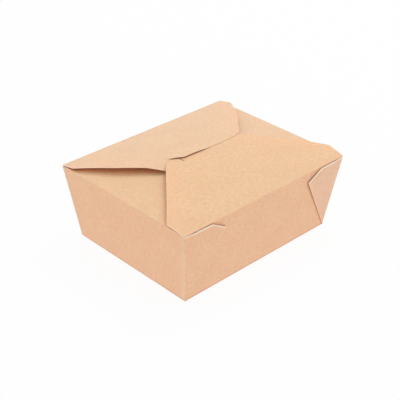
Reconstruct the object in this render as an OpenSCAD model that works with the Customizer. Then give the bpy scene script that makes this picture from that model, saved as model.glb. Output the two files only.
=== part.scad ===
// Folding takeaway box of unbleached paperboard, shown closed.
// One die-cut sheet makes a flared tray. Its corner webs are folded double and
// glued over the long walls. Two end flaps fold in first, the front lid flap
// folds over them, and the rear lid flap closes last: its free edge lies over
// the front flap, and the tongue beside its slit tucks in under it.
// X runs along the long side, the front is -Y, Z is up, and the origin is the
// centre of the bottom's underside.

/* [Tray] */
// Length of the flat bottom
base_l = 152; // [120:1:200]
// Width of the flat bottom
base_w = 120; // [104:1:150]
// Height of a wall, measured up its slope
wall_h = 64; // [45:1:100]
// How far each rim edge stands out past the bottom
flare = 8.4; // [4:0.2:12]
// Thickness of the board
board_t = 0.45; // [0.3:0.05:0.7]

/* [Corner webs] */
// Length of a web's top edge along the rim
web_top_l = 26.5; // [15:0.5:32]
// Depth of the slanting cut across a web's top corner
web_cut = 8; // [3:0.5:14]
// Distance of a web's top edge below the rim
web_rim_gap = 1.2; // [0.8:0.1:3]
// Distance of a web's foot above the bottom edge
web_foot = 1; // [0.5:0.25:3]

/* [End flaps] */
// How far an end flap reaches in over the tray
end_flap_l = 56; // [30:1:62]
// Length that each side of an end flap loses towards its free edge
end_flap_taper = 38; // [20:1:42]
// Length of rim left bare between an end flap and a corner
end_flap_corner = 5; // [4:0.5:10]
// Share of the height under the lid to which an end flap's tips spring up
end_flap_up = 0.55; // [0.1:0.05:0.9]

/* [Lid] */
// Height to which the closed lid domes up over the rim
lid_rise = 7.5; // [4:0.25:11]
// Length over which a lid flap parts from the dome's middle layer
lid_part_l = 40; // [20:1:44]
// Clear gap between one lid flap and the other
lap_gap = 0.35; // [0.2:0.05:0.6]

/* [Front lid flap] */
// How far the front flap's free edge lies past the middle of the box
front_past_middle = 13.1; // [11.5:0.1:20]
// Length of the front flap's straight shoulders
front_shoulder_l = 15.8; // [8:0.2:24]
// How far the front flap's shoulders stand out past the rim
front_shoulder_out = 1.6; // [0:0.1:2]
// Length of the slanting corner at the front flap's tip
front_corner_l = 11.5; // [8:0.5:16]
// Width that the slanting corner takes off each side
front_corner_w = 14.5; // [10:0.5:20]

/* [Rear lid flap] */
// How far the rear flap's free edge lies short of the middle of the box
rear_short_of_middle = 3.1; // [0:0.1:5]
// Length of the rear flap's straight shoulders
rear_shoulder_l = 14; // [8:0.2:20]
// How far the rear flap's shoulders stand out past the rim
rear_shoulder_out = 0.2; // [0:0.1:2]
// Knee of each side edge, out past a straight line
rear_side_knee = 1.8; // [0:0.1:4]
// Length of the slanting corner at the rear flap's tip
rear_corner_l = 3; // [1:0.25:5]
// Width that the slanting corner takes off each side
rear_corner_w = 16.8; // [10:0.2:20]

/* [Lock] */
// Distance of the front flap's slit left of the middle
lock_x = 20.3; // [12:0.1:24]
// How far the front flap's slit shows past the rear flap's free edge
front_slit_shows = 2; // [0.5:0.25:5]
// Width of the front flap's finger at its free edge, left of its slit
finger_w = 5.2; // [4:0.2:7]
// Width of a slit
slit_w = 0.4; // [0.2:0.1:0.8]
// Mouth of the rear flap's slit, right of the front flap's slit
slit_mouth_w = 5; // [3:0.25:7]
// Inner end of the rear flap's slit, left of the front flap's tip
slit_end_w = 9; // [8:0.5:12]
// How far the rear flap's slit runs on past the front flap's free edge
slit_past = 1; // [0.5:0.1:1.5]
// Width of the rear flap's free edge on each side of the front flap's slit
tongue_nose_w = 7.7; // [6:0.1:10]
// Length by which the tongue passes the rear flap's free edge
tongue_nose_l = 4; // [1:0.25:6]
// Length over which the tongue bends down under the front flap
tongue_bend_l = 2.7; // [2:0.1:3]

/* [Crease] */
// Clear gap at the crease between the rear wall and the rear flap
crease_gap = 0.2; // [0.1:0.05:0.4]

/* [Hidden] */

// Tray sizes that follow from the driving ones.
lean = asin(flare / wall_h);
rim_z = wall_h * cos(lean);
rim_l = base_l + 2 * flare;
rim_w = base_w + 2 * flare;
rim_x = rim_l / 2;
rim_y = rim_w / 2;
wall_across = board_t / cos(lean);

// One flap lies this far above or below the other, top face to top face.
lap_pitch = board_t + lap_gap;

// Lengths of the lid flaps in plan, each measured from its own crease.
front_flap_l = rim_y + front_past_middle;
rear_flap_l = rim_y - rear_short_of_middle;
front_slit_v = rim_y + rear_short_of_middle - front_slit_shows;
tongue_l = rear_flap_l + tongue_nose_l;
bend_v = rim_y - front_past_middle - slit_past;

// Half widths at the tips of the lid flaps, and the two ends of the slit.
front_tip_x = lock_x + finger_w;
rear_tip_x = lock_x + tongue_nose_w;
slit_mouth_x = lock_x - slit_mouth_w;
slit_end_x = front_tip_x + slit_end_w;

dome_steps = 24;
bend_steps = 6;
board_colour = "burlywood";

function half_l(z) = base_l / 2 + flare * z / rim_z;
function half_w(z) = base_w / 2 + flare * z / rim_z;

// Height of the dome's middle layer at a place y across the box.
function dome(y) = rim_z + lid_rise * (1 - pow(y / rim_y, 2));
function share(v, run) = max(0, min(1, v / run));
function smooth(s) = s * s * (3 - 2 * s);

// Top face of each lid flap, and of the tongue, at a distance v from its crease.
function front_top(v) = dome(v - rim_y) - lap_pitch / 2 * share(v, lid_part_l);
function rear_top(v) = dome(rim_y - v) + lap_pitch / 2 * share(v, lid_part_l);
function tongue_top(v) = rear_top(v) - 2 * lap_pitch * smooth(share(v - bend_v, tongue_bend_l));

// Equal steps from one value to another.
function steps(from, to, count) = [for (i = [0 : count]) from + (to - from) * i / count];

// Solid between two levels of the flared tray, with every side moved in by inset.
module flared_block(z0, z1, inset) {
    corners = [for (z = [z0, z1], c = [[-1, -1], [1, -1], [1, 1], [-1, 1]])
        [c[0] * (half_l(z) - inset), c[1] * (half_w(z) - inset), z]];
    sides = [[0, 4, 5, 1], [1, 5, 6, 2], [2, 6, 7, 3], [3, 7, 4, 0]];
    polyhedron(corners, concat([[0, 1, 2, 3], [7, 6, 5, 4]], sides));
}

module tray() {
    above = 1;
    difference() {
        flared_block(0, rim_z, 0);
        flared_block(board_t, rim_z + above, wall_across);
    }
}

// A web is a double ply glued to the outside of a long wall, at its right-hand
// end. Its folded edge halves the corner's spare angle.
module web() {
    fold_lean = 45 - 2 * atan(flare / wall_h);
    top_s = wall_h - web_rim_gap;
    cut_s = top_s - web_cut;
    corner_x = function(s) base_l / 2 + flare * s / wall_h;
    fold_x = function(s) base_l / 2 - s * tan(fold_lean);
    outline = [
        [fold_x(web_foot), web_foot], [corner_x(web_foot), web_foot],
        [corner_x(top_s), top_s], [corner_x(top_s) - web_top_l, top_s], [fold_x(cut_s), cut_s]
    ];
    translate([0, -base_w / 2, 0])
        rotate([90 + lean, 0, 0])
            translate([0, 0, -board_t / 2])
                linear_extrude(2.5 * board_t) polygon(outline);
}

// The end flap on the left, sprung up from level part of the way to the lid
// flaps.
module end_flap() {
    root = rim_y - end_flap_corner;
    tip = root - end_flap_taper;
    room = front_top(rim_y - tip) - board_t - rim_z;
    translate([-rim_x, 0, rim_z])
        rotate([0, -asin(end_flap_up * room / end_flap_l), 0])
            translate([0, 0, -board_t])
                linear_extrude(board_t)
                    polygon([[0, -root], [end_flap_l, -tip], [end_flap_l, tip], [0, root]]);
}

// A sheet of board that runs along the whole box. Its profile is a list of
// points [y, z of the top face], and it is cut to an outline afterwards.
module sheet(profile) {
    last = len(profile) - 1;
    under = [for (i = [last : -1 : 0]) profile[i] - [0, board_t]];
    rotate([90, 0, 90])
        linear_extrude(2 * rim_l, center = true) polygon(concat(profile, under));
}

// A tall prism over an outline whose points are [x, distance from the crease].
module front_column(outline) {
    translate([0, -rim_y, 0]) linear_extrude(2 * rim_z) polygon(outline);
}

module rear_column(outline) {
    translate([0, rim_y, 0]) mirror([0, 1, 0]) linear_extrude(2 * rim_z) polygon(outline);
}

// Left and right halves of a symmetric outline, given the right half from the
// crease to the tip.
function both_sides(right) = concat(
    [for (i = [len(right) - 1 : -1 : 0]) [-right[i][0], right[i][1]]], right);

module front_flap() {
    profile = [for (v = steps(0, front_flap_l, dome_steps)) [v - rim_y, front_top(v)]];
    outline = both_sides([
        [rim_x, 0],
        [rim_x + front_shoulder_out, front_shoulder_l],
        [front_tip_x + front_corner_w, front_flap_l - front_corner_l],
        [front_tip_x, front_flap_l]
    ]);
    difference() {
        intersection() {
            sheet(profile);
            front_column(outline);
        }
        front_column([
            [-lock_x - slit_w, front_slit_v], [-lock_x, front_slit_v],
            [-lock_x, rim_w], [-lock_x - slit_w, rim_w]
        ]);
    }
}

// Room that the rear flap needs over the rear wall and the rear corners.
module rear_flap_room() {
    above = 1;
    edge = [for (v = steps(0, 2 * end_flap_corner, dome_steps))
        [rim_y - v, rear_top(v) - board_t - crease_gap]];
    inner_y = rim_y - 2 * end_flap_corner;
    over = [[inner_y, 2 * rim_z], [rim_y + above, 2 * rim_z], [rim_y + above, edge[0][1]]];
    rotate([90, 0, 90])
        linear_extrude(2 * rim_l, center = true) polygon(concat(edge, over));
}

module carton() {
    color(board_colour)
        difference() {
            union() {
                tray();
                for (turn = [0, 180]) rotate([0, 0, turn]) {
                    web();
                    mirror([1, 0, 0]) web();
                    end_flap();
                }
                front_flap();
            }
            rear_flap_room();
        }
}

// Points along the rear flap's right-hand side, as its shoulder, the start of
// the slanting corner at its tip, and the knee between them.
rear_shoulder = [rim_x + rear_shoulder_out, rear_shoulder_l];
rear_corner = [rear_tip_x + rear_corner_w, rear_flap_l - rear_corner_l];
side_dir = (rear_corner - rear_shoulder) / norm(rear_corner - rear_shoulder);
rear_knee = (rear_shoulder + rear_corner) / 2 + rear_side_knee * [side_dir[1], -side_dir[0]];

// Point of the side edge's last stretch, or of its run on, at a distance v.
function side_at(v) =
    let (stretch = rear_corner - rear_knee)
    rear_knee + stretch * (v - rear_knee[1]) / stretch[1];

// The rear lid flap is a sheet that follows the dome. Left of its slanting
// slit the sheet is a tongue, which bends down and runs on to a longer nose.
module rear_lid_flap() {
    shared_l = 2;
    bend_end = bend_v + tongue_bend_l;
    to_bend = steps(0, bend_v, dome_steps);
    main_v = concat(to_bend, [(bend_v + rear_flap_l) / 2, rear_flap_l]);
    down_v = steps(bend_v + tongue_bend_l / bend_steps, bend_end, bend_steps - 1);
    tongue_v = concat(to_bend, down_v, [tongue_l]);
    slit = [[-slit_end_x, bend_v], [-slit_mouth_x, rear_flap_l]];
    flip = function(p) [-p[0], p[1]];
    main_side = [[rim_x, 0], rear_shoulder, rear_knee, rear_corner, [rear_tip_x, rear_flap_l]];
    color(board_colour) union() {
        difference() {
            intersection() {
                sheet([for (v = main_v) [rim_y - v, rear_top(v)]]);
                rear_column(both_sides(main_side));
            }
            translate([slit_w, 0, 0])
                rear_column(concat(slit, [[-slit_mouth_x, rim_w], [-rim_l, rim_w], [-rim_l, bend_v]]));
        }
        intersection() {
            sheet([for (v = tongue_v) [rim_y - v, tongue_top(v)]]);
            rear_column(concat(
                [[-slit_end_x, bend_v - shared_l]], slit,
                [[-rear_tip_x, tongue_l], flip(side_at(tongue_l)), flip(side_at(bend_v - shared_l))]
            ));
        }
    }
}

carton();
rear_lid_flap();
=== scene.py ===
# %% [markdown]
# A folding takeaway box of brown paperboard, closed, on a white sweep. The real box is one die-cut
# sheet: a tray with leaning walls, four corner webs folded flat against the long walls, two end flaps
# turned in, and two lid flaps that hook into each other through slits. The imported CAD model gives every
# size and the hinge. The looks are built here as thin sheets of board that follow the same fold lines,
# because paperboard is read by its rounded creases, its pale cut edges and its fibres.

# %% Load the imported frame
import math

import bmesh
import bpy
import numpy as np
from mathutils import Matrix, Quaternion, Vector


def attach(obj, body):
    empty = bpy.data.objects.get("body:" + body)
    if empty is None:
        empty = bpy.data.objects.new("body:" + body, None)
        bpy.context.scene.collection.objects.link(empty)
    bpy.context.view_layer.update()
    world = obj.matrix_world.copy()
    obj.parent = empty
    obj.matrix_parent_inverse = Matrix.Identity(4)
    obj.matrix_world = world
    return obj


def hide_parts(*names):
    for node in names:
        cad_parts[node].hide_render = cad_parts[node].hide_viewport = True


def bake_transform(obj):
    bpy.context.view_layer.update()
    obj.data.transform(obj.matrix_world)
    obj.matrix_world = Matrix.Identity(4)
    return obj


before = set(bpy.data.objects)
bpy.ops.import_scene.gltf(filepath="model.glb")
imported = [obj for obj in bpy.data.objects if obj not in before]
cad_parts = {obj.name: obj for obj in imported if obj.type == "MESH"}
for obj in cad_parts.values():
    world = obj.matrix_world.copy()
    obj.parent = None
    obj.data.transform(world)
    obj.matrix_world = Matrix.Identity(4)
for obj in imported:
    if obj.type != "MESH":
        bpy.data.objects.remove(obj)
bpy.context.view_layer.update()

# %% [markdown]
# The sizes are the ones the CAD source uses, in millimetres, so that every panel lands on its fold
# line. A maker measures a carton on its outer faces, from crease to crease, and so do these.

# %% Sizes of the blank, in millimetres
MM = 0.001
BASE_HALF_L = 76.0
BASE_HALF_W = 60.0
WALL_H = 64.0
FLARE = 8.4
BOARD = 0.45
RIM_Z = math.sqrt(WALL_H ** 2 - FLARE ** 2)
RIM_HALF_L = BASE_HALF_L + FLARE
RIM_HALF_W = BASE_HALF_W + FLARE
LEAN_OUT = FLARE / WALL_H
LEAN_UP = RIM_Z / WALL_H
print("rim", round(2 * RIM_HALF_L, 1), "by", round(2 * RIM_HALF_W, 1), "at height", round(RIM_Z, 2))

LID_RISE = 7.5  # how far the lid arches up over the rim, in its middle
LID_TILT = -0.5 / RIM_HALF_L  # how that rise changes for each millimetre to the right
LAP = 0.25  # the rear flap lies so far above the arch, and the front flap below it
LAP_RUN = 40.0  # from nought at a flap's hinge, the lap grows over so much of its length
LID_SLOPE = math.atan(2 * LID_RISE / RIM_HALF_W)  # how steep the arch is at the hinges

# %% [markdown]
# The camera stands where the photographer's did. Its place, its lens and its slight roll come from the
# perspective of the tray's corners, worked out before anything was modelled.

# %% Camera
CAMERA_AT = (-0.45103, -0.46333, 0.4178)
CAMERA_AIM = (-0.00398, 0.0, 0.02926)
CAMERA_ROLL = 0.0087
CAMERA_LENS = 86.06


def photographer():
    """The camera, where the photographer's stood."""
    data = bpy.data.cameras.new("photographer")
    data.sensor_width = 36.0
    data.lens = CAMERA_LENS
    data.clip_start = 0.05
    data.clip_end = 20.0
    stand = bpy.data.objects.new("photographer", data)
    stand.location = CAMERA_AT
    look = (Vector(CAMERA_AIM) - Vector(CAMERA_AT)).to_track_quat("-Z", "Y")
    stand.rotation_mode = "QUATERNION"
    stand.rotation_quaternion = look @ Quaternion((0, 0, 1), CAMERA_ROLL)
    bpy.context.scene.collection.objects.link(stand)
    bpy.context.scene.camera = stand
    return stand


camera = photographer()
print("camera stands", round(camera.location.length, 3), "m from the middle of the base")

# %% [markdown]
# Materials come next, because every sheet needs its three finishes: the brown outer face, the lined
# inner face and the pale cut edge. Each finish is a tree of small nodes. Wired one by one, the same few
# kinds of node would fill pages, so five helpers make a node, feed a socket, do a sum, stretch a range
# and mix two colours.

# %% Helpers for node trees
def put(tree, kind, **settings):
    """A node of that kind, with its plain settings."""
    made = tree.nodes.new(kind)
    for name, value in settings.items():
        setattr(made, name, value)
    return made


def feed(tree, socket, value):
    """Gives a socket either a link from another socket or a plain value."""
    if isinstance(value, bpy.types.NodeSocket):
        tree.links.new(value, socket)
    else:
        socket.default_value = value


def reckon(tree, operation, *terms):
    """One Math node: the terms are sockets or numbers, and the answer is a socket."""
    made = put(tree, "ShaderNodeMath", operation=operation)
    for place, term in enumerate(terms):
        feed(tree, made.inputs[place], term)
    return made.outputs[0]


def stretch(tree, value, low, high, to_low, to_high):
    """A clamped Map Range from one span of numbers to another."""
    made = put(tree, "ShaderNodeMapRange")
    for place, term in enumerate((value, low, high, to_low, to_high)):
        feed(tree, made.inputs[place], term)
    return made.outputs[0]


def tint(tree, share, first, second):
    """Mixes two colours. The share is a socket or a number.
    When a Mix node is set to colours, its inputs 6 and 7 and its output 2 are the ones in use."""
    made = put(tree, "ShaderNodeMix", data_type="RGBA")
    feed(tree, made.inputs[0], share)
    feed(tree, made.inputs[6], first)
    feed(tree, made.inputs[7], second)
    return made.outputs[2]


# %% [markdown]
# Unbleached board has no even colour. The faces are drawn in the flat blank's own coordinates, kept in
# a UV map called Blank, so the fibres run one way over the whole sheet and turn with it over each fold,
# as on real board. Three layers of noise do the work: soft clouds, the grainy formation of the pulp,
# and long thin fibres. A photo of board could be wrapped on instead, but noise has no seams and stays
# sharp from close by. In the narrow nooks under flaps and web folds an Ambient Occlusion node paints
# the brown deeper: painted shade where board faces board.

# %% Board finishes
def blank_noise(tree, across, along, detail, rough=0.5):
    """Noise in the blank's coordinates, with so many grains to the metre across and along the fibres."""
    chart = put(tree, "ShaderNodeUVMap", uv_map="Blank")
    squeeze = put(tree, "ShaderNodeMapping")
    squeeze.inputs["Scale"].default_value = (along, across, 1.0)
    tree.links.new(chart.outputs[0], squeeze.inputs["Vector"])
    noise = put(tree, "ShaderNodeTexNoise")
    noise.inputs["Scale"].default_value = 1.0
    noise.inputs["Detail"].default_value = detail
    noise.inputs["Roughness"].default_value = rough
    tree.links.new(squeeze.outputs[0], noise.inputs["Vector"])
    return noise.outputs[0]


CUT_FIBRE_AND_HIGHLIGHT = (1.0, 0.91, 0.73, 1.0)
# The deep brown of the painted shade in narrow nooks, and how far that painted shade reaches
NOOK_SHADE_BROWN = (0.72, 0.37, 0.19, 1.0)
NOOK_SHADE_REACH = 3 * MM
FLECK = (0.33, 0.17, 0.08, 1.0)
SCORE_SHARE = 0.2
BUMP_HEIGHT = 0.08 * MM
SCATTER_REACH = (1.8, 0.6, 0.25)


def score_line(tree, first, last):
    """One along a faint score from first to last on the blank, in millimetres, and nought elsewhere."""
    chart = put(tree, "ShaderNodeUVMap", uv_map="Blank")
    parts = put(tree, "ShaderNodeSeparateXYZ")
    tree.links.new(chart.outputs[0], parts.inputs[0])
    length = math.dist(first, last)
    way = ((last[0] - first[0]) / length, (last[1] - first[1]) / length)
    from_x = reckon(tree, "SUBTRACT", parts.outputs["X"], first[0] * MM)
    from_y = reckon(tree, "SUBTRACT", parts.outputs["Y"], first[1] * MM)
    along = reckon(tree, "ADD", reckon(tree, "MULTIPLY", from_x, way[0]),
                   reckon(tree, "MULTIPLY", from_y, way[1]))
    aside = reckon(tree, "SUBTRACT", reckon(tree, "MULTIPLY", from_x, way[1]),
                   reckon(tree, "MULTIPLY", from_y, way[0]))
    near = stretch(tree, reckon(tree, "ABSOLUTE", aside), 0.0, 0.7 * MM, 1.0, 0.0)
    middle = reckon(tree, "ABSOLUTE", reckon(tree, "SUBTRACT", along, length * MM / 2))
    ends = stretch(tree, middle, length * MM * 0.42, length * MM * 0.5, 1.0, 0.0)
    return reckon(tree, "MULTIPLY", near, ends)


def board_finish(name, brown, shade, pale, shade_dull, roughness, scored=None):
    """Unbleached board, from its brown, a darker and a paler one, the dull tone of painted shade on far
    creases, corners and the foot, and its least and greatest roughness. scored is a faint crease between
    two points of the blank. Narrow nooks get painted shade from an Ambient Occlusion node."""
    finish = bpy.data.materials.new(name)
    finish.use_nodes = True
    tree = finish.node_tree
    surface = tree.nodes["Principled BSDF"]
    clouds = blank_noise(tree, 55.0, 40.0, 3.0)
    formation = blank_noise(tree, 420.0, 260.0, 4.0, 0.6)
    fibres = blank_noise(tree, 2600.0, 260.0, 3.0, 0.6)
    flecks = blank_noise(tree, 1500.0, 700.0, 2.0)
    colour = tint(tree, stretch(tree, clouds, 0.35, 0.65, 0.0, 0.35), brown, shade)
    colour = tint(tree, stretch(tree, formation, 0.35, 0.65, 0.0, 0.65), colour, shade)
    colour = tint(tree, stretch(tree, fibres, 0.45, 0.72, 0.0, 0.75), colour, pale)
    colour = tint(tree, stretch(tree, flecks, 0.66, 0.74, 0.0, 0.35), colour, FLECK)
    # Above nought: pale cut rims and creases, and a painted highlight at the front corner. Below nought:
    # painted shade.
    wear_and_painted_light = put(tree, "ShaderNodeAttribute", attribute_name="wear_and_painted_light").outputs["Fac"]
    colour = tint(tree, stretch(tree, wear_and_painted_light, 0.0, 1.0, 0.0, 0.95), colour, CUT_FIBRE_AND_HIGHLIGHT)
    colour = tint(tree, stretch(tree, wear_and_painted_light, 0.0, -1.0, 0.0, 0.6), colour, shade_dull)
    grain = reckon(tree, "ADD", reckon(tree, "MULTIPLY", fibres, 0.6),
                   reckon(tree, "MULTIPLY", formation, 0.4))
    if scored:
        line = score_line(tree, *scored)
        colour = tint(tree, reckon(tree, "MULTIPLY", line, SCORE_SHARE), colour, CUT_FIBRE_AND_HIGHLIGHT)
        grain = reckon(tree, "SUBTRACT", grain, line)
    # Painted shade: an Ambient Occlusion node darkens the colour towards a deep brown near other board
    nook_shade = put(tree, "ShaderNodeAmbientOcclusion", samples=8)
    nook_shade.inputs["Distance"].default_value = NOOK_SHADE_REACH
    colour = tint(tree, stretch(tree, nook_shade.outputs["AO"], 0.55, 0.95, 1.0, 0.0), colour, NOOK_SHADE_BROWN)
    tree.links.new(colour, surface.inputs["Base Color"])
    rough = stretch(tree, formation, 0.3, 0.7, roughness[0], roughness[1])
    tree.links.new(rough, surface.inputs["Roughness"])
    surface.inputs["Specular IOR Level"].default_value = 0.3
    surface.inputs["Subsurface Weight"].default_value = 0.35
    surface.inputs["Subsurface Radius"].default_value = SCATTER_REACH
    surface.inputs["Subsurface Scale"].default_value = MM
    bump = put(tree, "ShaderNodeBump")
    bump.inputs["Strength"].default_value = 0.35
    bump.inputs["Distance"].default_value = BUMP_HEIGHT
    tree.links.new(grain, bump.inputs["Height"])
    tree.links.new(bump.outputs[0], surface.inputs["Normal"])
    return finish


BROWN = (0.965, 0.592, 0.352, 1.0)
BROWN_SHADE = (0.86, 0.475, 0.262, 1.0)
BROWN_PALE = (0.98, 0.70, 0.46, 1.0)
# The dull tone is painted shade along far creases, corners and the foot
SHADE_DULL = (0.66, 0.54, 0.44, 1.0)
# A paler copy of the same brown for the rear flap, its crease and the right end: painted sheen, as on
# faces seen at a grazing angle
SHEEN_BROWN = (0.945, 0.608, 0.398, 1.0)
SHEEN_BROWN_SHADE = (0.86, 0.51, 0.315, 1.0)
LINED_BROWN = (0.90, 0.555, 0.325, 1.0)
LINED_SHADE = (0.80, 0.475, 0.265, 1.0)
MATT = (0.6, 0.75)
LINED = (0.35, 0.48)
CORNER_SCORE = ((-71.4, -154.7), (-43.1, -127.5))
outer_face = board_finish("brown_board", BROWN, BROWN_SHADE, BROWN_PALE, SHADE_DULL, MATT, CORNER_SCORE)
sheen_face = board_finish("paler_brown_board", SHEEN_BROWN, SHEEN_BROWN_SHADE, BROWN_PALE, SHADE_DULL, MATT)
inner_face = board_finish("lined_board", LINED_BROWN, LINED_SHADE, BROWN, SHADE_DULL, LINED)
print("faces:", [m.name for m in (outer_face, sheen_face, inner_face)])

# %% [markdown]
# A cut edge shows the board from the side: pale fibres in thin layers, rougher than the faces. On the
# flat blank it is only a line, so its noise is drawn in the object's coordinates instead, with grains
# no larger than the board is thick.

# %% The cut edge
CUT_SHADE = (1.0, 0.88, 0.72, 1.0)


def cut_edge_finish():
    """The finish of the sheared edge of the board."""
    finish = bpy.data.materials.new("cut_edge")
    finish.use_nodes = True
    tree = finish.node_tree
    surface = tree.nodes["Principled BSDF"]
    place = put(tree, "ShaderNodeTexCoord").outputs["Object"]
    layers = put(tree, "ShaderNodeTexNoise")
    layers.inputs["Scale"].default_value = 2500.0
    layers.inputs["Detail"].default_value = 2.0
    tree.links.new(place, layers.inputs["Vector"])
    colour = tint(tree, stretch(tree, layers.outputs[0], 0.35, 0.65, 0.0, 1.0),
                  CUT_FIBRE_AND_HIGHLIGHT, CUT_SHADE)
    tree.links.new(colour, surface.inputs["Base Color"])
    tree.links.new(stretch(tree, layers.outputs[0], 0.3, 0.7, 0.85, 0.98), surface.inputs["Roughness"])
    surface.inputs["Specular IOR Level"].default_value = 0.2
    bump = put(tree, "ShaderNodeBump")
    bump.inputs["Strength"].default_value = 0.5
    bump.inputs["Distance"].default_value = 0.1 * MM
    tree.links.new(layers.outputs[0], bump.inputs["Height"])
    tree.links.new(bump.outputs[0], surface.inputs["Normal"])
    return finish


cut_edge = cut_edge_finish()
FINISHES = (outer_face, inner_face, cut_edge)
SHEEN_FINISHES = (sheen_face, inner_face, cut_edge)
print("finishes on each sheet:", len(FINISHES))

# %% [markdown]
# Every panel is a grid of points on the board's outer face. A point carries its place, its place on the
# flat blank, its wear and painted light (1 is a pale cut rim, a little above nought a paler crease, the
# front corner a painted highlight, and below nought painted shade along far creases, corners and the
# foot), and for the lid how far it lies from its hinge. Solidify then gives the sheet its 0.45 mm
# inwards, with the lined face inside and the cut edge round the rim. A plain box with thickness would be
# quicker, but its edges would be knife sharp and it couldn't show the folds.

# %% Helpers for sheets of board
def spread(first, last, count):
    """Evenly spaced places from first to last, both ends in, with so many gaps."""
    return [first + (last - first) * i / count for i in range(count + 1)]


def steps(first, last, pitch):
    """The same with gaps of about that pitch."""
    return spread(first, last, max(1, round(abs(last - first) / pitch)))


CREASE_ROWS = (0.35, 1.1)


def panel_rows(first, last, pitch):
    """Places across a flat panel, closer together beside its creases, so that the panel stays flat."""
    way = 1 if last > first else -1
    near = [first] + [first + way * t for t in CREASE_ROWS]
    far = [last - way * t for t in reversed(CREASE_ROWS)] + [last]
    return near + steps(first + way * 3, last - way * 3, pitch) + far


def turned_corner(corner, normal_in, normal_out, radius, count):
    """Points of the arc that rounds a fold, between two flat panels with these outward normals."""
    a, b = np.array(normal_in), np.array(normal_out)
    centre = np.array(corner) - radius * (a + b) / (1 + a @ b)
    angle = math.acos(float(a @ b))
    points = []
    for i in range(count + 1):
        share = i / count
        normal = (math.sin((1 - share) * angle) * a + math.sin(share * angle) * b) / math.sin(angle)
        points.append(tuple(centre + radius * normal))
    return points, radius * math.tan(angle / 2)


def smooth(share):
    """An S curve from 0 to 1 that is level at both ends."""
    share = min(1.0, max(0.0, share))
    return share * share * (3 - 2 * share)


def outline(places, v, soften=0.8):
    """The half width of a flap at v, from (v, half width) corners that the die rounds a little."""
    vs, widths = [p[0] for p in places], [p[1] for p in places]
    near = np.linspace(v - soften, v + soften, 9)
    if near[0] < vs[0] or near[-1] > vs[-1]:
        return float(np.interp(v, vs, widths))
    return float(np.mean(np.interp(near, vs, widths)))


def board_sheet(name, patches, outward, finishes=FINISHES):
    """One sheet from grids of points. Each grid comes with the cells that are cut out of it.
    outward is the way the first cell's outer face looks."""
    points, faces = [], []
    for grid, holes in patches:
        cols = len(grid[0])
        start = len(points)
        for row in grid:
            points.extend(row)
        for r in range(len(grid) - 1):
            for c in range(cols - 1):
                if (r, c) not in holes:
                    a = start + r * cols + c
                    faces.append((a, a + 1, a + cols + 1, a + cols))
    spots = [Vector(p[:3]) for p in points]
    first = faces[0]
    looks = (spots[first[2]] - spots[first[0]]).cross(spots[first[3]] - spots[first[1]])
    if looks.dot(Vector(outward)) < 0:
        faces = [face[::-1] for face in faces]
    mesh = bpy.data.meshes.new(name)
    mesh.from_pydata([spot * MM for spot in spots], [], faces)
    chart = mesh.uv_layers.new(name="Blank")
    for loop in mesh.loops:
        p = points[loop.vertex_index]
        chart.data[loop.index].uv = (p[3] * MM, p[4] * MM)
    for place, label in ((5, "wear_and_painted_light"), (6, "reach")):
        values = mesh.attributes.new(label, "FLOAT", "POINT")
        values.data.foreach_set("value", [p[place] for p in points])
    work = bmesh.new()
    work.from_mesh(mesh)
    bmesh.ops.delete(work, geom=[v for v in work.verts if not v.link_faces], context="VERTS")
    bmesh.ops.remove_doubles(work, verts=work.verts, dist=1e-6)
    work.to_mesh(mesh)
    work.free()
    mesh.polygons.foreach_set("use_smooth", [True] * len(mesh.polygons))
    for finish in finishes:
        mesh.materials.append(finish)
    sheet = bpy.data.objects.new(name, mesh)
    bpy.context.scene.collection.objects.link(sheet)
    return sheet


def keep_mesh(piece):
    """Keeps what a piece's modifier makes as a plain mesh."""
    evaluated = piece.evaluated_get(bpy.context.evaluated_depsgraph_get())
    made = bpy.data.meshes.new_from_object(evaluated)
    piece.modifiers.clear()
    piece.data = made
    return piece


SHARP_FROM = math.radians(38)


def thicken(sheet):
    """Gives a sheet the board's thickness, inwards from its outer face, with sharp cut edges."""
    wall = sheet.modifiers.new("board", "SOLIDIFY")
    wall.thickness = BOARD * MM
    wall.offset = -1
    wall.use_even_offset = True
    wall.material_offset = 1
    wall.material_offset_rim = 2
    keep_mesh(sheet)
    sheet.data.set_sharp_from_angle(angle=SHARP_FROM)
    return sheet


# %% [markdown]
# The two lid flaps are bowed: the locked edges push them up into a low arch over the tray. That is a
# rule, a parabola from hinge to hinge, so a Geometry Nodes tree does it to sheets that are first laid
# level with the rim. Its inputs are the rise in the middle, how much more it is on one side, the half
# span, and how far the flap moves up or down to lie over or under its neighbour.

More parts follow.
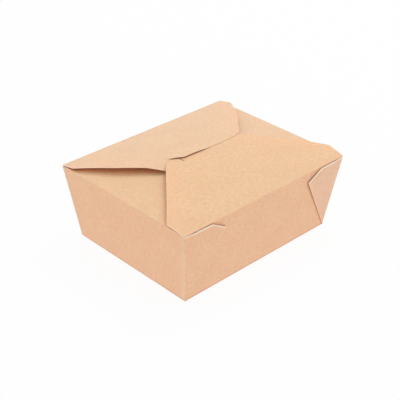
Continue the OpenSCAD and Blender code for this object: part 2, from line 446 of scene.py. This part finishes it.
# %% The arch of the lid, as a Geometry Nodes tree
def arch_tree():
    """Lifts every point that has a reach onto the parabola of the lid, and by its share of the lap."""
    tree = bpy.data.node_groups.new("lid_arch", "GeometryNodeTree")
    face = tree.interface
    face.new_socket("Geometry", in_out="OUTPUT", socket_type="NodeSocketGeometry")
    face.new_socket("Geometry", in_out="INPUT", socket_type="NodeSocketGeometry")
    for name in ("Rise", "Side tilt", "Half span", "Lap", "Lap run"):
        face.new_socket(name, in_out="INPUT", socket_type="NodeSocketFloat")
    face.new_socket("Finish", in_out="INPUT", socket_type="NodeSocketMaterial")
    given = put(tree, "NodeGroupInput").outputs
    place = put(tree, "GeometryNodeInputPosition").outputs[0]
    parts = put(tree, "ShaderNodeSeparateXYZ")
    tree.links.new(place, parts.inputs[0])
    reach_node = put(tree, "GeometryNodeInputNamedAttribute", data_type="FLOAT")
    reach_node.inputs["Name"].default_value = "reach"
    reach = reach_node.outputs["Attribute"]
    across = reckon(tree, "DIVIDE", parts.outputs["Y"], given["Half span"])
    bow = reckon(tree, "SUBTRACT", 1.0, reckon(tree, "MULTIPLY", across, across))
    more = reckon(tree, "MULTIPLY", given["Side tilt"], parts.outputs["X"])
    rise = reckon(tree, "ADD", given["Rise"], more)
    lap_share = reckon(tree, "MINIMUM", 1.0, reckon(tree, "DIVIDE", reach, given["Lap run"]))
    lap = reckon(tree, "MULTIPLY", given["Lap"], lap_share)
    lift = reckon(tree, "ADD", reckon(tree, "MULTIPLY", rise, bow), lap)
    upward = put(tree, "ShaderNodeCombineXYZ")
    tree.links.new(lift, upward.inputs["Z"])
    move = put(tree, "GeometryNodeSetPosition")
    tree.links.new(given["Geometry"], move.inputs["Geometry"])
    tree.links.new(reckon(tree, "GREATER_THAN", reach, 0.0), move.inputs["Selection"])
    tree.links.new(upward.outputs[0], move.inputs["Offset"])
    real = put(tree, "GeometryNodeRealizeInstances")
    tree.links.new(move.outputs[0], real.inputs[0])
    paint = put(tree, "GeometryNodeSetMaterial")
    tree.links.new(real.outputs[0], paint.inputs["Geometry"])
    tree.links.new(given["Finish"], paint.inputs["Material"])
    done = put(tree, "NodeGroupOutput")
    tree.links.new(paint.outputs[0], done.inputs[0])
    return tree


def run_tree(piece, tree, **values):
    """Runs a tree on a piece with these inputs, and keeps what it makes as a plain mesh."""
    modifier = piece.modifiers.new(tree.name, "NODES")
    modifier.node_group = tree
    for item in tree.interface.items_tree:
        key = item.name.replace(" ", "_")
        if item.in_out == "INPUT" and key in values:
            modifier[item.identifier] = values[key]
    return keep_mesh(piece)


lid_arch = arch_tree()
print("lid arch:", len(lid_arch.nodes), "nodes")


def arch(piece, lap):
    """Bows a lid flap that was laid level, so far over (+) or under (-) its neighbour."""
    return run_tree(piece, lid_arch, Rise=LID_RISE * MM, Side_tilt=LID_TILT, Half_span=RIM_HALF_W * MM,
                    Lap=lap * MM, Lap_run=LAP_RUN, Finish=piece.data.materials[0])


# %% [markdown]
# The first sheet is the long strip of the blank: rear wall, bottom, front wall and front lid flap, one
# after the other. It is a path seen from the side, with a small arc at each crease, and every place on
# the path has its own width. Columns keep to the lock slit near the front flap's free edge, so the cut
# runs straight.

# %% Tray strip with the front lid flap
CREASE_R = 0.6
CREASE_STEPS = 6
CREASE_ROOM = 2.2  # the rear wall stops so far below the rim, where the bending band takes over
WALL_INSET = 0.5  # the side edges of a long wall lie so far inside the corner
STRIP_HALF = BASE_HALF_L - 1.6  # beyond this, the bottom belongs to the end sheets
FRONT_LEFT = ((0.0, RIM_HALF_L), (15.8, 86.0), (36.5, 67.3), (69.5, 38.6), (81.5, 25.5))
FRONT_RIGHT = ((0.0, RIM_HALF_L), (15.8, 86.0), (43.0, 65.3), (58.0, 53.2), (71.5, 42.5), (81.5, 25.5))
FRONT_SLIT = (-21.6, -20.6)
FRONT_SLIT_V = 68.2
PALE_RIM = 0.3  # the width of the worn rim along a cut side
LEFT_RIM_WEAR = 1.0
# The right cut side gets painted shade instead of a pale rim
RIGHT_RIM_SHADE = -0.7


def wall_half(s):
    """Half the length of a long wall, at s up its slope, where the end wall's inner face stops it."""
    return BASE_HALF_L + LEAN_OUT * s - WALL_INSET


def fold_wear_and_shade(strength, share):
    """The pale wear of a fold for a strength above nought, painted shade for one below, strongest along
    its middle.
    """
    return strength * math.sin(math.pi * share)


def strip_row(y, z, left_half, right_half, along, wear_and_painted_light, reach):
    """One row of the strip, with columns held on the slit, a narrow pale rim along its left cut side and
    painted shade along its right one.
    """
    left, right = FRONT_SLIT
    xs = [-left_half] + spread(PALE_RIM - left_half, left, 31)
    xs += spread(right, right_half - PALE_RIM, 52) + [right_half]
    row = [(x, y, z, x, along, wear_and_painted_light, reach) for x in xs]
    for side, rim_wear_and_shade in ((0, LEFT_RIM_WEAR), (-1, RIGHT_RIM_SHADE)):
        row[side] = row[side][:5] + (rim_wear_and_shade, reach)
    return row


def tray_strip():
    """Rear wall, bottom, front wall and front lid flap, the flap still level with the rim."""
    rows = []
    top = WALL_H - CREASE_ROOM
    wall_in, wall_out = (LEAN_UP, -LEAN_OUT), (-LEAN_UP, -LEAN_OUT)
    arc, run = turned_corner((BASE_HALF_W, 0), wall_in, (0, -1), CREASE_R, CREASE_STEPS)
    for s in panel_rows(top, run, 4.0):
        y, z, half = BASE_HALF_W + LEAN_OUT * s, LEAN_UP * s, wall_half(s)
        rows.append(strip_row(y, z, half, half, BASE_HALF_W + s, 0, 0))
    for i, (y, z) in enumerate(arc[1:]):
        share = (i + 1) / CREASE_STEPS
        half = wall_half(run) + (STRIP_HALF - wall_half(run)) * max(0.0, 2 * share - 1)
        along = BASE_HALF_W + run * (1 - 2 * share)
        # The rear bottom crease gets painted shade where the box meets the floor
        rows.append(strip_row(y, z, half, half, along, fold_wear_and_shade(-1, share), 0))
    for y in panel_rows(BASE_HALF_W - run, run - BASE_HALF_W, 5.0)[1:]:
        rows.append(strip_row(y, 0, STRIP_HALF, STRIP_HALF, y, 0, 0))
    arc, run = turned_corner((-BASE_HALF_W, 0), (0, -1), wall_out, CREASE_R, CREASE_STEPS)
    for i, (y, z) in enumerate(arc[1:]):
        share = (i + 1) / CREASE_STEPS
        half = STRIP_HALF + (wall_half(run) - STRIP_HALF) * min(1.0, 2 * share)
        along = run * (1 - 2 * share) - BASE_HALF_W
        # The front bottom crease gets painted shade where the box meets the floor
        rows.append(strip_row(y, z, half, half, along, fold_wear_and_shade(-1, share), 0))
    fold = (-math.sin(LID_SLOPE), math.cos(LID_SLOPE))
    arc, over = turned_corner((-RIM_HALF_W, RIM_Z), wall_out, fold, CREASE_R, CREASE_STEPS)
    for s in panel_rows(run, WALL_H - over, 3.0)[1:]:
        y, z, half = -BASE_HALF_W - LEAN_OUT * s, LEAN_UP * s, wall_half(s)
        rows.append(strip_row(y, z, half, half, -BASE_HALF_W - s, 0, 0))
    start = arc[-1][0] + RIM_HALF_W
    for i, (y, z) in enumerate(arc[1:]):
        share = (i + 1) / CREASE_STEPS
        half = wall_half(WALL_H) + (outline(FRONT_LEFT, start) - wall_half(WALL_H)) * share
        along = -BASE_HALF_W - WALL_H + over - share * (over + start)
        rows.append(strip_row(y, z, half, half, along, fold_wear_and_shade(0.12, share), 0))
    flap = [start + t for t in CREASE_ROWS] + steps(3.0, 14.6, 1.6) + steps(15.0, 16.6, 0.4)
    flap += steps(18.0, 67.2, 1.6) + [FRONT_SLIT_V] + steps(69.1, 72.3, 0.4) + steps(73.2, 81.5, 1.3)
    for v in sorted(set(round(v, 3) for v in flap)):
        left, right = outline(FRONT_LEFT, v), outline(FRONT_RIGHT, v)
        rows.append(strip_row(v - RIM_HALF_W, RIM_Z, left, right, -BASE_HALF_W - WALL_H - v, 0, v))
    cut = next(c for c, p in enumerate(rows[0]) if abs(p[0] - FRONT_SLIT[0]) < 1e-6)
    slit = {(r, cut) for r, row in enumerate(rows[:-1]) if row[0][6] >= FRONT_SLIT_V - 0.01}
    return board_sheet("tray_and_front_flap", [(rows, slit)], (0, 1, 0))


tray = thicken(arch(tray_strip(), -LAP))
print("tray strip:", len(tray.data.vertices), "points")

# %% [markdown]
# Each end of the box is another part of the same sheet: the end wall, its flap turned in over the tray,
# and on both sides a web. The web wraps the corner, lies on the long wall, and doubles back on itself
# along a slanting fold. One grid holds all of it. A row follows the box round at one height: inner ply,
# tight fold, outer ply, rounded corner, end wall, and the same again backwards. The webs fan out from
# the foot of the corner.

# %% Ends with webs and end flaps
WEB_TAN = math.tan(math.radians(45) - 2 * math.atan(FLARE / WALL_H))
FAN = LEAN_OUT + WEB_TAN  # the width of a web for each millimetre up the slope
WEB_TOP_S = 62.8  # how far up the slope a web reaches, full and at its fold, where its corner is cut
WEB_CUT_S = 54.8
WEB_TOP_L = 26.5
WEB_GAP = 0.03  # the least room between a web and the long wall
WEB_LIFT = 0.8  # how far the web's fold springs away from the wall, at the top
WEB_SPRING = 0.05
WEB_STACK = 0.93  # how far its outer ply stands out, full and at the foot
FOOT_STACK = 0.5
CORNER_STACK = 0.4  # the same at the corner's fold, full and at the foot
FOOT_CORNER_STACK = 0.3
STACK_RUN = 5.0  # both grow from foot to full over so much of the slope
CORNER_R = 0.7
# At the front-left corner: a painted highlight on the end wall's side, painted shade on the web's side
FRONT_CORNER_LIGHT = 0.17
END_FLAP_L = 56.0
END_FLAP_HALF = 63.4
END_FLAP_TAPER = 38.0  # how far each side of an end flap slants in, from its crease to its tip
END_FLAP_CORNER = 5.0
END_FLAP_RISE = math.radians(3.2)  # an end flap springs up from level by so much
END_WALL_HALF = 68.5
END_FOOT_HALF = BASE_HALF_W - 0.25


def web_top(u):
    """How far up the slope the web reaches, at u from the corner (0) to the fold (1)."""
    drift = LEAN_OUT - FAN * u
    full_x = RIM_HALF_L - WEB_TOP_L
    cut_x = BASE_HALF_L - WEB_CUT_S * WEB_TAN
    slope = (WEB_TOP_S - WEB_CUT_S) / (full_x - cut_x)
    cut_s = (WEB_CUT_S + slope * (BASE_HALF_L - cut_x)) / (1 - slope * drift)
    return min(WEB_TOP_S, cut_s)


def corner_stack(s):
    """How far the corner's fold stands out past the long wall, at s up the slope."""
    return FOOT_CORNER_STACK + (CORNER_STACK - FOOT_CORNER_STACK) * smooth(s / STACK_RUN)


def web_stack(part, u, s):
    """How far a web's outer ply stands out past the long wall. It is less near the corner's fold."""
    corner = corner_stack(s)
    full = FOOT_STACK + (WEB_STACK - FOOT_STACK) * smooth(s / STACK_RUN)
    share = {"inner": 1.0, "fold": 1.0, "outer": smooth(u / 0.25), "corner": 0.0}[part]
    return corner + (full - corner) * share


def web_point(part, u, s, side_x, side_y):
    """A point of a web. part is inner, fold, outer or corner, and u runs along that part."""
    corner_x = BASE_HALF_L + LEAN_OUT * s
    wall_y = BASE_HALF_W + LEAN_OUT * s
    width = FAN * s
    up = s / WEB_TOP_S
    stack = web_stack(part, u, s)
    off = WEB_GAP + WEB_LIFT * up ** 1.5
    front_corner = side_x < 0 and side_y < 0
    round_x = min(CORNER_R, 0.4 * width)
    round_f = min(0.6 * stack, 0.4 * width)
    near = corner_x - round_x
    far = corner_x - width + round_f
    wear_and_painted_light = 0.0
    if part == "inner":
        x = near + (far - near) * u
        y = wall_y + WEB_GAP + (off - WEB_GAP) * u
        v = width + (x - far)
    elif part == "fold":
        lift = off + WEB_SPRING * up ** 3
        x = far - round_f * math.sin(math.pi * u)
        y = wall_y + off + (stack + lift - off) * (1 - math.cos(math.pi * u)) / 2
        v = width
        wear_and_painted_light = 0.2
    elif part == "outer":
        x = near + (far - near) * u
        y = wall_y + stack + (off + WEB_SPRING * up ** 3) * u ** 1.5
        v = corner_x - x
        # Beside the front corner the outer ply gets painted shade
        wear_and_painted_light = -FRONT_CORNER_LIGHT * (1 - smooth(u / 0.08)) if front_corner else 0.0
    else:
        x = corner_x - round_x + round_x * math.sin(math.pi / 2 * u)
        y = wall_y + stack - round_x + round_x * math.cos(math.pi / 2 * u)
        v = 0.0
        # Front corner: painted highlight on the end wall's side, painted shade on the web's side. The
        # other corners get painted shade.
        wear_and_painted_light = FRONT_CORNER_LIGHT * (2 * u - 1) if front_corner else fold_wear_and_shade(-0.6, u)
    blank = (side_x * (BASE_HALF_L + s), side_y * (BASE_HALF_W + v))
    return (side_x * x, side_y * y, LEAN_UP * s, *blank, wear_and_painted_light, 0.0)


print("a web is", round(FAN * WEB_TOP_S, 1), "mm wide at its top, before its corner is cut off")

# %% [markdown]
# Left and right are the same grid, mirrored. Its columns run from the front web's inner ply round the
# end wall to the rear web's, and its rows from the end of the bottom up the wall and in along the end
# flap. Where a row has no board, such as beside the flap, its cells are left out. Wall, webs and flap
# could be grids of their own, but then their seams would open at the folds.

# %% One end, from its columns and rows
END_STEPS = (14, 8, 22, 6, 44)  # gaps between columns: inner ply, fold, outer ply, corner, end wall
BESIDE_CORNER = 0.985  # the end wall's last column, as a share of its half width
NO_BOARD = (0, 0, -1, 0, 0, 0, 0)  # fills a place in the grid that no face uses


def end_columns():
    """The columns round one end, each a side (0 on the end wall), a part of the sheet, and u along it.
    On the end wall u is the share of its half width."""
    inner, fold, outer, corner, wall = END_STEPS
    web = [("inner", 0.25 + 0.75 * i / inner) for i in range(inner + 1)]
    web += [("fold", (i + 1) / fold) for i in range(fold)]
    web += [("outer", 1 - (i + 1) / outer) for i in range(outer)]
    web += [("corner", (i + 1) / corner) for i in range(corner)]
    edge = END_FLAP_HALF / END_WALL_HALF
    middle = [("end", -BESIDE_CORNER), ("end", -edge)]
    middle += [("end", edge * (2 * (i + 1) / wall - 1)) for i in range(wall)]
    middle += [("end", BESIDE_CORNER)]
    return [(-1, *c) for c in web] + [(0, *c) for c in middle] + [(1, *c) for c in reversed(web)]


def end_flap_half(v):
    """Half the width of an end flap at v from its crease, with the corners of its tip rounded."""
    half = END_FLAP_HALF - END_FLAP_TAPER * v / END_FLAP_L
    over = v - (END_FLAP_L - END_FLAP_CORNER)
    if over > 0:
        half -= END_FLAP_CORNER - math.sqrt(max(0.0, END_FLAP_CORNER ** 2 - over ** 2))
    return half


def end_sheet(name, side):
    """End wall, end flap and both webs. side is -1 for the left end and 1 for the right."""
    columns = end_columns()
    edge = END_FLAP_HALF / END_WALL_HALF
    up_normal = (LEAN_UP, -LEAN_OUT)
    in_normal = (math.sin(END_FLAP_RISE), math.cos(END_FLAP_RISE))
    foot, run = turned_corner((BASE_HALF_L, 0), (0, -1), up_normal, CREASE_R, CREASE_STEPS)
    rim, over = turned_corner((RIM_HALF_L, RIM_Z), up_normal, in_normal, CREASE_R, CREASE_STEPS)
    wall_top = WALL_H - over
    rows, holes = [], set()

    def end_half(s):
        """Half the width of the end wall, at s up its slope."""
        return BASE_HALF_W + LEAN_OUT * s + corner_stack(s) - min(CORNER_R, 0.4 * FAN * s)

    def plain_row(x, z, half, along, wear_and_painted_light, whole):
        """A row without webs, as wide as the end wall (whole) or as the flap."""
        row = []
        for where, part, u in columns:
            if where:
                row.append(NO_BOARD)
            else:
                y = u * half if whole else max(-1.0, min(1.0, u / edge)) * half
                row.append((side * x, y, z, side * (BASE_HALF_L + along), y, wear_and_painted_light, 0.0))
        return row

    def close(whole):
        """Leaves out the cells past the newest row that have no board."""
        r = len(rows) - 1
        for c in range(len(columns) - 1):
            webs = columns[c][0] or columns[c + 1][0]
            beyond = max(abs(columns[c][2]), abs(columns[c + 1][2])) > edge + 1e-6
            if webs or (beyond and not whole):
                holes.add((r, c))

    for x in (STRIP_HALF, BASE_HALF_L - run):
        rows.append(plain_row(x, 0, END_FOOT_HALF, x - BASE_HALF_L, 0, True))
        close(True)
    for i, (x, z) in enumerate(foot[1:-1]):
        share = (i + 1) / CREASE_STEPS
        half = END_FOOT_HALF + (end_half(run) - END_FOOT_HALF) * share
        # The foot crease gets painted shade
        rows.append(plain_row(x, z, half, run * (2 * share - 1), fold_wear_and_shade(-1, share), True))
        close(True)
    for level in panel_rows(0, wall_top - run, 3.0):
        share = level / (wall_top - run)
        to_top = wall_top - run - level
        row = []
        for where, part, u in columns:
            if where:
                top = {"corner": WEB_TOP_S, "fold": WEB_CUT_S}.get(part, web_top(u))
                point = web_point(part, u, run + (top - run) * share, side, where)
                pale = part != "corner" and to_top < 0.5
                row.append((*point[:5], 0.8 if to_top > 0 else 1.0, 0.0) if pale else point)
            else:
                s = run + level
                # Painted shade on the left end's rear corner column, the right end's front corner column,
                # and along the foot
                painted_light = -0.5 if side * u <= -BESIDE_CORNER or level < 0.2 else 0.0
                # The left end wall's front corner column gets a painted highlight
                if side < 0 and u <= -BESIDE_CORNER:
                    painted_light = FRONT_CORNER_LIGHT
                row.append((side * (BASE_HALF_L + LEAN_OUT * s), u * end_half(s), LEAN_UP * s,
                            side * (BASE_HALF_L + s), u * end_half(s), painted_light, 0.0))
        rows.append(row)
    close(False)
    for i, (x, z) in enumerate(rim[1:]):
        share = (i + 1) / CREASE_STEPS
        # The left rim crease is a little paler; the right one gets painted shade
        wear_and_painted_light = fold_wear_and_shade(0.2 if side < 0 else -0.8, share)
        rows.append(plain_row(x, z, END_FLAP_HALF, WALL_H - over + 2 * over * share, wear_and_painted_light, False))
        close(False)
    tip = steps(END_FLAP_L - 4.5, END_FLAP_L, 0.5)
    for v in panel_rows(over, END_FLAP_L - END_FLAP_CORNER, 3.0)[1:] + tip:
        x, z = RIM_HALF_L - v * math.cos(END_FLAP_RISE), RIM_Z + v * math.sin(END_FLAP_RISE)
        # Painted shade along the right end flap's first row, by its crease
        painted_light = -0.5 if side > 0 and v < over + 0.5 else 0.0
        rows.append(plain_row(x, z, end_flap_half(v), WALL_H + v, painted_light, False))
        close(False)
    holes = {(r, c) for r, c in holes if r < len(rows) - 1}
    # The right end takes the paler copy with its painted sheen
    return board_sheet(name, [(rows, holes)], (0, 0, -1), FINISHES if side < 0 else SHEEN_FINISHES)


left_end = thicken(end_sheet("left_end_and_webs", -1))
right_end = thicken(end_sheet("right_end_and_webs", 1))
print("each end:", len(left_end.data.vertices), "points")

# %% [markdown]
# The rear lid flap turns on its own hinge, so it is a sheet of its own. A slanting slit cuts it into
# the main part, which lies on the front flap, and a tongue, which dives under it. A slit could be cut
# with a boolean, but that leaves long thin faces beside it. Here both parts share the column on the
# slit as far as the cut, and split there.

# %% Rear lid flap with its tongue
REAR_RIGHT = ((0.0, RIM_HALF_L), (14.0, 84.6), (39.3, 66.1), (63.6, 43.0), (65.3, 33.0))
REAR_LEFT = ((0.0, RIM_HALF_L), (14.0, 84.6), (39.3, 66.1), (69.3, 38.3))
FREE_EDGE = ((-15.0, -7.0, 5.0, 19.0, 31.0, 43.0), (0.0, 0.2, 0.75, 1.1, 0.35, 0.3))
FREE_EDGE_WEAR = 0.5
SLIT_MOUTH = (-18.2, 65.3)  # the slit's ends: across from the middle, and out from the crease
SLIT_END = (-29.3, 58.5)
SLIT_GAP = 0.03  # half the slit's width at its end, and how it widens for each millimetre out
SLIT_SPREAD = 0.01
TONGUE_V = 69.3
TONGUE_NOSE_X = -28.0
LOCK_LIFT = 0.95  # how far the front flap's finger lifts the free edge, at most


def slit_x(v):
    """Where the slit column stands at v: on the cut, or on the tongue's slanting nose beyond it."""
    if v <= SLIT_END[1]:
        return SLIT_END[0]
    if v <= SLIT_MOUTH[1]:
        share = (v - SLIT_END[1]) / (SLIT_MOUTH[1] - SLIT_END[1])
        return SLIT_END[0] + (SLIT_MOUTH[0] - SLIT_END[0]) * share
    share = (v - SLIT_MOUTH[1]) / (TONGUE_V - SLIT_MOUTH[1])
    return SLIT_MOUTH[0] + (TONGUE_NOSE_X - SLIT_MOUTH[0]) * share


def tongue_drop(x, v):
    """How far the tongue has sunk. It bends along a slanting line, more steeply beside the slit."""
    left = max(0.0, SLIT_END[0] - x)
    past = max(0.0, v - (SLIT_END[1] + 0.3 - 0.09 * left))
    ramp = past ** 2 / 1.6 if past < 0.8 else past - 0.4
    return min(2.1, ramp * (0.42 - 0.185 * min(1.0, left / 6)))


def edge_lift(x, v):
    """How far the front flap's finger holds the free edge up, beside the slit."""
    beside = smooth((x + 36) / 14) * (1 - smooth((x + 6) / 17))
    return LOCK_LIFT * beside * smooth((v - 50) / 14)


def rear_places():
    """The rows of the rear flap, closer together at its corners and in the lock."""
    vs = steps(CREASE_ROOM - 0.2, 13.0, 1.6) + steps(13.2, 14.8, 0.4) + steps(16.0, 38.2, 1.6)
    vs += steps(38.5, 40.1, 0.4) + steps(41.5, 56.5, 1.2) + steps(57.3, 65.0, 0.55) + [SLIT_END[1]]
    return sorted(set(round(v, 3) for v in vs + [65.3] + steps(65.9, TONGUE_V, 0.6)))


def rear_flap_sheet():
    """The rear lid flap as two grids that share the column on the slit. The left one has the tongue."""
    left_rows, right_rows = [], []
    along = BASE_HALF_W + WALL_H
    for v in rear_places():
        cut = v > SLIT_END[1] + 0.01
        x_cut = slit_x(v)
        gap = SLIT_GAP + SLIT_SPREAD * (v - SLIT_END[1]) if cut else 0.0
        half = outline(REAR_LEFT, v)
        xs = [-half] + spread(PALE_RIM - half, x_cut - gap, 30)
        left_rows.append([(x, RIM_HALF_W - v, RIM_Z - tongue_drop(x, v), x, along + v,
                           1.0 if x == -half else 0.0, v) for x in xs])
        if v > SLIT_MOUTH[1] + 0.01:
            continue
        half = outline(REAR_RIGHT, v, 0.5)
        rim = FREE_EDGE_WEAR if v > SLIT_MOUTH[1] - 0.01 else 0.0
        row = []
        for x in [x_cut + gap] + spread(x_cut + gap + PALE_RIM, half - PALE_RIM, 60) + [half]:
            run_on = v + float(np.interp(x, *FREE_EDGE)) * smooth((v - 50) / 15)
            wear_and_painted_light = 1.0 if x == half or (cut and x == x_cut + gap) else rim * (1 - smooth(x / 6))
            row.append((x, RIM_HALF_W - run_on, RIM_Z + edge_lift(x, v), x, along + run_on, wear_and_painted_light, v))
        right_rows.append(row)
    return board_sheet("rear_flap", [(left_rows, set()), (right_rows, set())], (0, 0, 1), SHEEN_FINISHES)


rear_flap = thicken(arch(rear_flap_sheet(), LAP))
print("rear flap:", len(rear_flap.data.vertices), "points")

# %% [markdown]
# The board bends along the crease within a millimetre or two, with no gap and no pin. The band that
# does so is a narrow piece between two bodies: the rear wall's last rows, a small arc, and the foot
# of the flap. A plain hinge would leave an open line there.

# %% The bending band at the hinge
def hinge_band():
    """The band from the rear wall over the crease to the foot of the rear flap."""
    rows = []
    wall_normal = (LEAN_UP, -LEAN_OUT)
    flap_normal = (math.sin(LID_SLOPE), math.cos(LID_SLOPE))
    arc, run = turned_corner((RIM_HALF_W, RIM_Z), wall_normal, flap_normal, CREASE_R, 2 * CREASE_STEPS)
    start = WALL_H - CREASE_ROOM
    for s in (start, start + 0.5, start + 0.9, WALL_H - run):
        rows.append([(x, BASE_HALF_W + LEAN_OUT * s, LEAN_UP * s, x, BASE_HALF_W + s, 0, 0)
                     for x in spread(-wall_half(s), wall_half(s), 70)])
    for i, (y, z) in enumerate(arc[1:]):
        share = (i + 1) / (2 * CREASE_STEPS)
        half = wall_half(WALL_H) + (RIM_HALF_L - wall_half(WALL_H)) * share
        # Painted shade along the crease
        rows.append([(x, y, z, x, BASE_HALF_W + WALL_H + run * (2 * share - 1), fold_wear_and_shade(-1, share), 0)
                     for x in spread(-half, half, 70)])
    reach = RIM_HALF_W - arc[-1][0]
    # Painted shade on the flap's first row beside the crease
    for v, painted_light in ((reach + 0.4, -0.6), (CREASE_ROOM - 0.2, 0)):
        half = outline(REAR_LEFT, v)
        rows.append([(x, RIM_HALF_W - v, RIM_Z, x, BASE_HALF_W + WALL_H + v, painted_light, v)
                     for x in spread(-half, half, 70)])
    return board_sheet("rear_crease", [(rows, set())], (0, 1, 0), SHEEN_FINISHES)


rear_crease = thicken(arch(hinge_band(), LAP))
print("rear crease:", len(rear_crease.data.vertices), "points")

# %% [markdown]
# Floor and light. The sweep is plain white. For the camera it glows at strength one for the most part,
# which is exactly white, and the rest of it is matte, so the soft shadow of the box stays on it. The
# light is a soft surround, cool white overhead and dimmer and warmer towards the horizon, a bright
# floor that fills from below, and one large soft lamp high on the right.

# %% Floor, surround and lamp
WHITE = (1.0, 1.0, 1.0, 1.0)
FLOOR_LIGHT = (1.12, 1.01, 1.07, 1.0)
LOW_LIGHT = (0.53, 0.38, 0.29, 1.0)
HIGH_LIGHT = (0.98, 1.02, 1.08, 1.0)
FLOOR_PAINT = (0.93, 0.89, 0.92, 1.0)
GLOW_SHARE = 0.94


def sweep():
    """The floor: white where the camera sees it lit, with the shadow of the box on its matte share."""
    mesh = bpy.data.meshes.new("sweep")
    size, low = 4.0, -0.0003
    corners = [(-size, -size, low), (size, -size, low), (size, size, low), (-size, size, low)]
    mesh.from_pydata(corners, [], [(0, 1, 2, 3)])
    floor = bpy.data.objects.new("sweep", mesh)
    bpy.context.scene.collection.objects.link(floor)
    finish = bpy.data.materials.new("white_sweep")
    finish.use_nodes = True
    tree = finish.node_tree
    out = tree.nodes["Material Output"]
    matte = tree.nodes["Principled BSDF"]
    matte.inputs["Base Color"].default_value = FLOOR_PAINT
    matte.inputs["Roughness"].default_value = 0.9
    glow = put(tree, "ShaderNodeEmission")
    glow.inputs["Strength"].default_value = 1.0
    seen = put(tree, "ShaderNodeLightPath").outputs["Is Camera Ray"]
    tree.links.new(tint(tree, seen, FLOOR_LIGHT, WHITE), glow.inputs["Color"])
    mix = put(tree, "ShaderNodeMixShader")
    mix.inputs[0].default_value = GLOW_SHARE
    tree.links.new(matte.outputs[0], mix.inputs[1])
    tree.links.new(glow.outputs[0], mix.inputs[2])
    tree.links.new(mix.outputs[0], out.inputs[0])
    mesh.materials.append(finish)
    return floor


def surround(low, high):
    """A bright surround, from one colour at the horizon to another overhead.
    The camera and reflections see white."""
    world = bpy.data.worlds.new("surround")
    bpy.context.scene.world = world
    world.use_nodes = True
    tree = world.node_tree
    parts = put(tree, "ShaderNodeSeparateXYZ")
    tree.links.new(put(tree, "ShaderNodeTexCoord").outputs["Object"], parts.inputs[0])
    ray = put(tree, "ShaderNodeLightPath")
    shown = reckon(tree, "MAXIMUM", ray.outputs["Is Camera Ray"], ray.outputs["Is Glossy Ray"])
    colour = tint(tree, shown, tint(tree, parts.outputs["Z"], low, high), WHITE)
    tree.links.new(colour, tree.nodes["Background"].inputs["Color"])


def soft_lamp(name, place, size, power):
    """A white disk lamp that looks at the middle of the box."""
    data = bpy.data.lights.new(name, "AREA")
    data.shape = "DISK"
    data.size = size
    data.energy = power
    lamp = bpy.data.objects.new(name, data)
    lamp.location = place
    lamp.rotation_mode = "QUATERNION"
    lamp.rotation_quaternion = (Vector((0, 0, 0.03)) - Vector(place)).to_track_quat("-Z", "Y")
    bpy.context.scene.collection.objects.link(lamp)


floor = sweep()
surround(LOW_LIGHT, HIGH_LIGHT)
soft_lamp("key", place=(0.8, 0.2, 1.5), size=0.9, power=6.2)
bpy.context.scene.view_settings.view_transform = "Standard"
print("staging:", floor.name, "and the lamps", [lamp.name for lamp in bpy.data.lights])

# %% [markdown]
# The tray, the two ends and the rear flap ride on the bodies that carry them, and the tray and the rear
# flap stand for the two CAD solids, which are hidden. The crease rides on no body here: its place is
# only applied to its mesh.

# %% Bodies and hand-over
for piece in (tray, left_end, right_end):
    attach(piece, "carton")
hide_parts("carton")
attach(rear_flap, "rear_lid")
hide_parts("rear_lid_flap")
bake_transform(rear_crease)
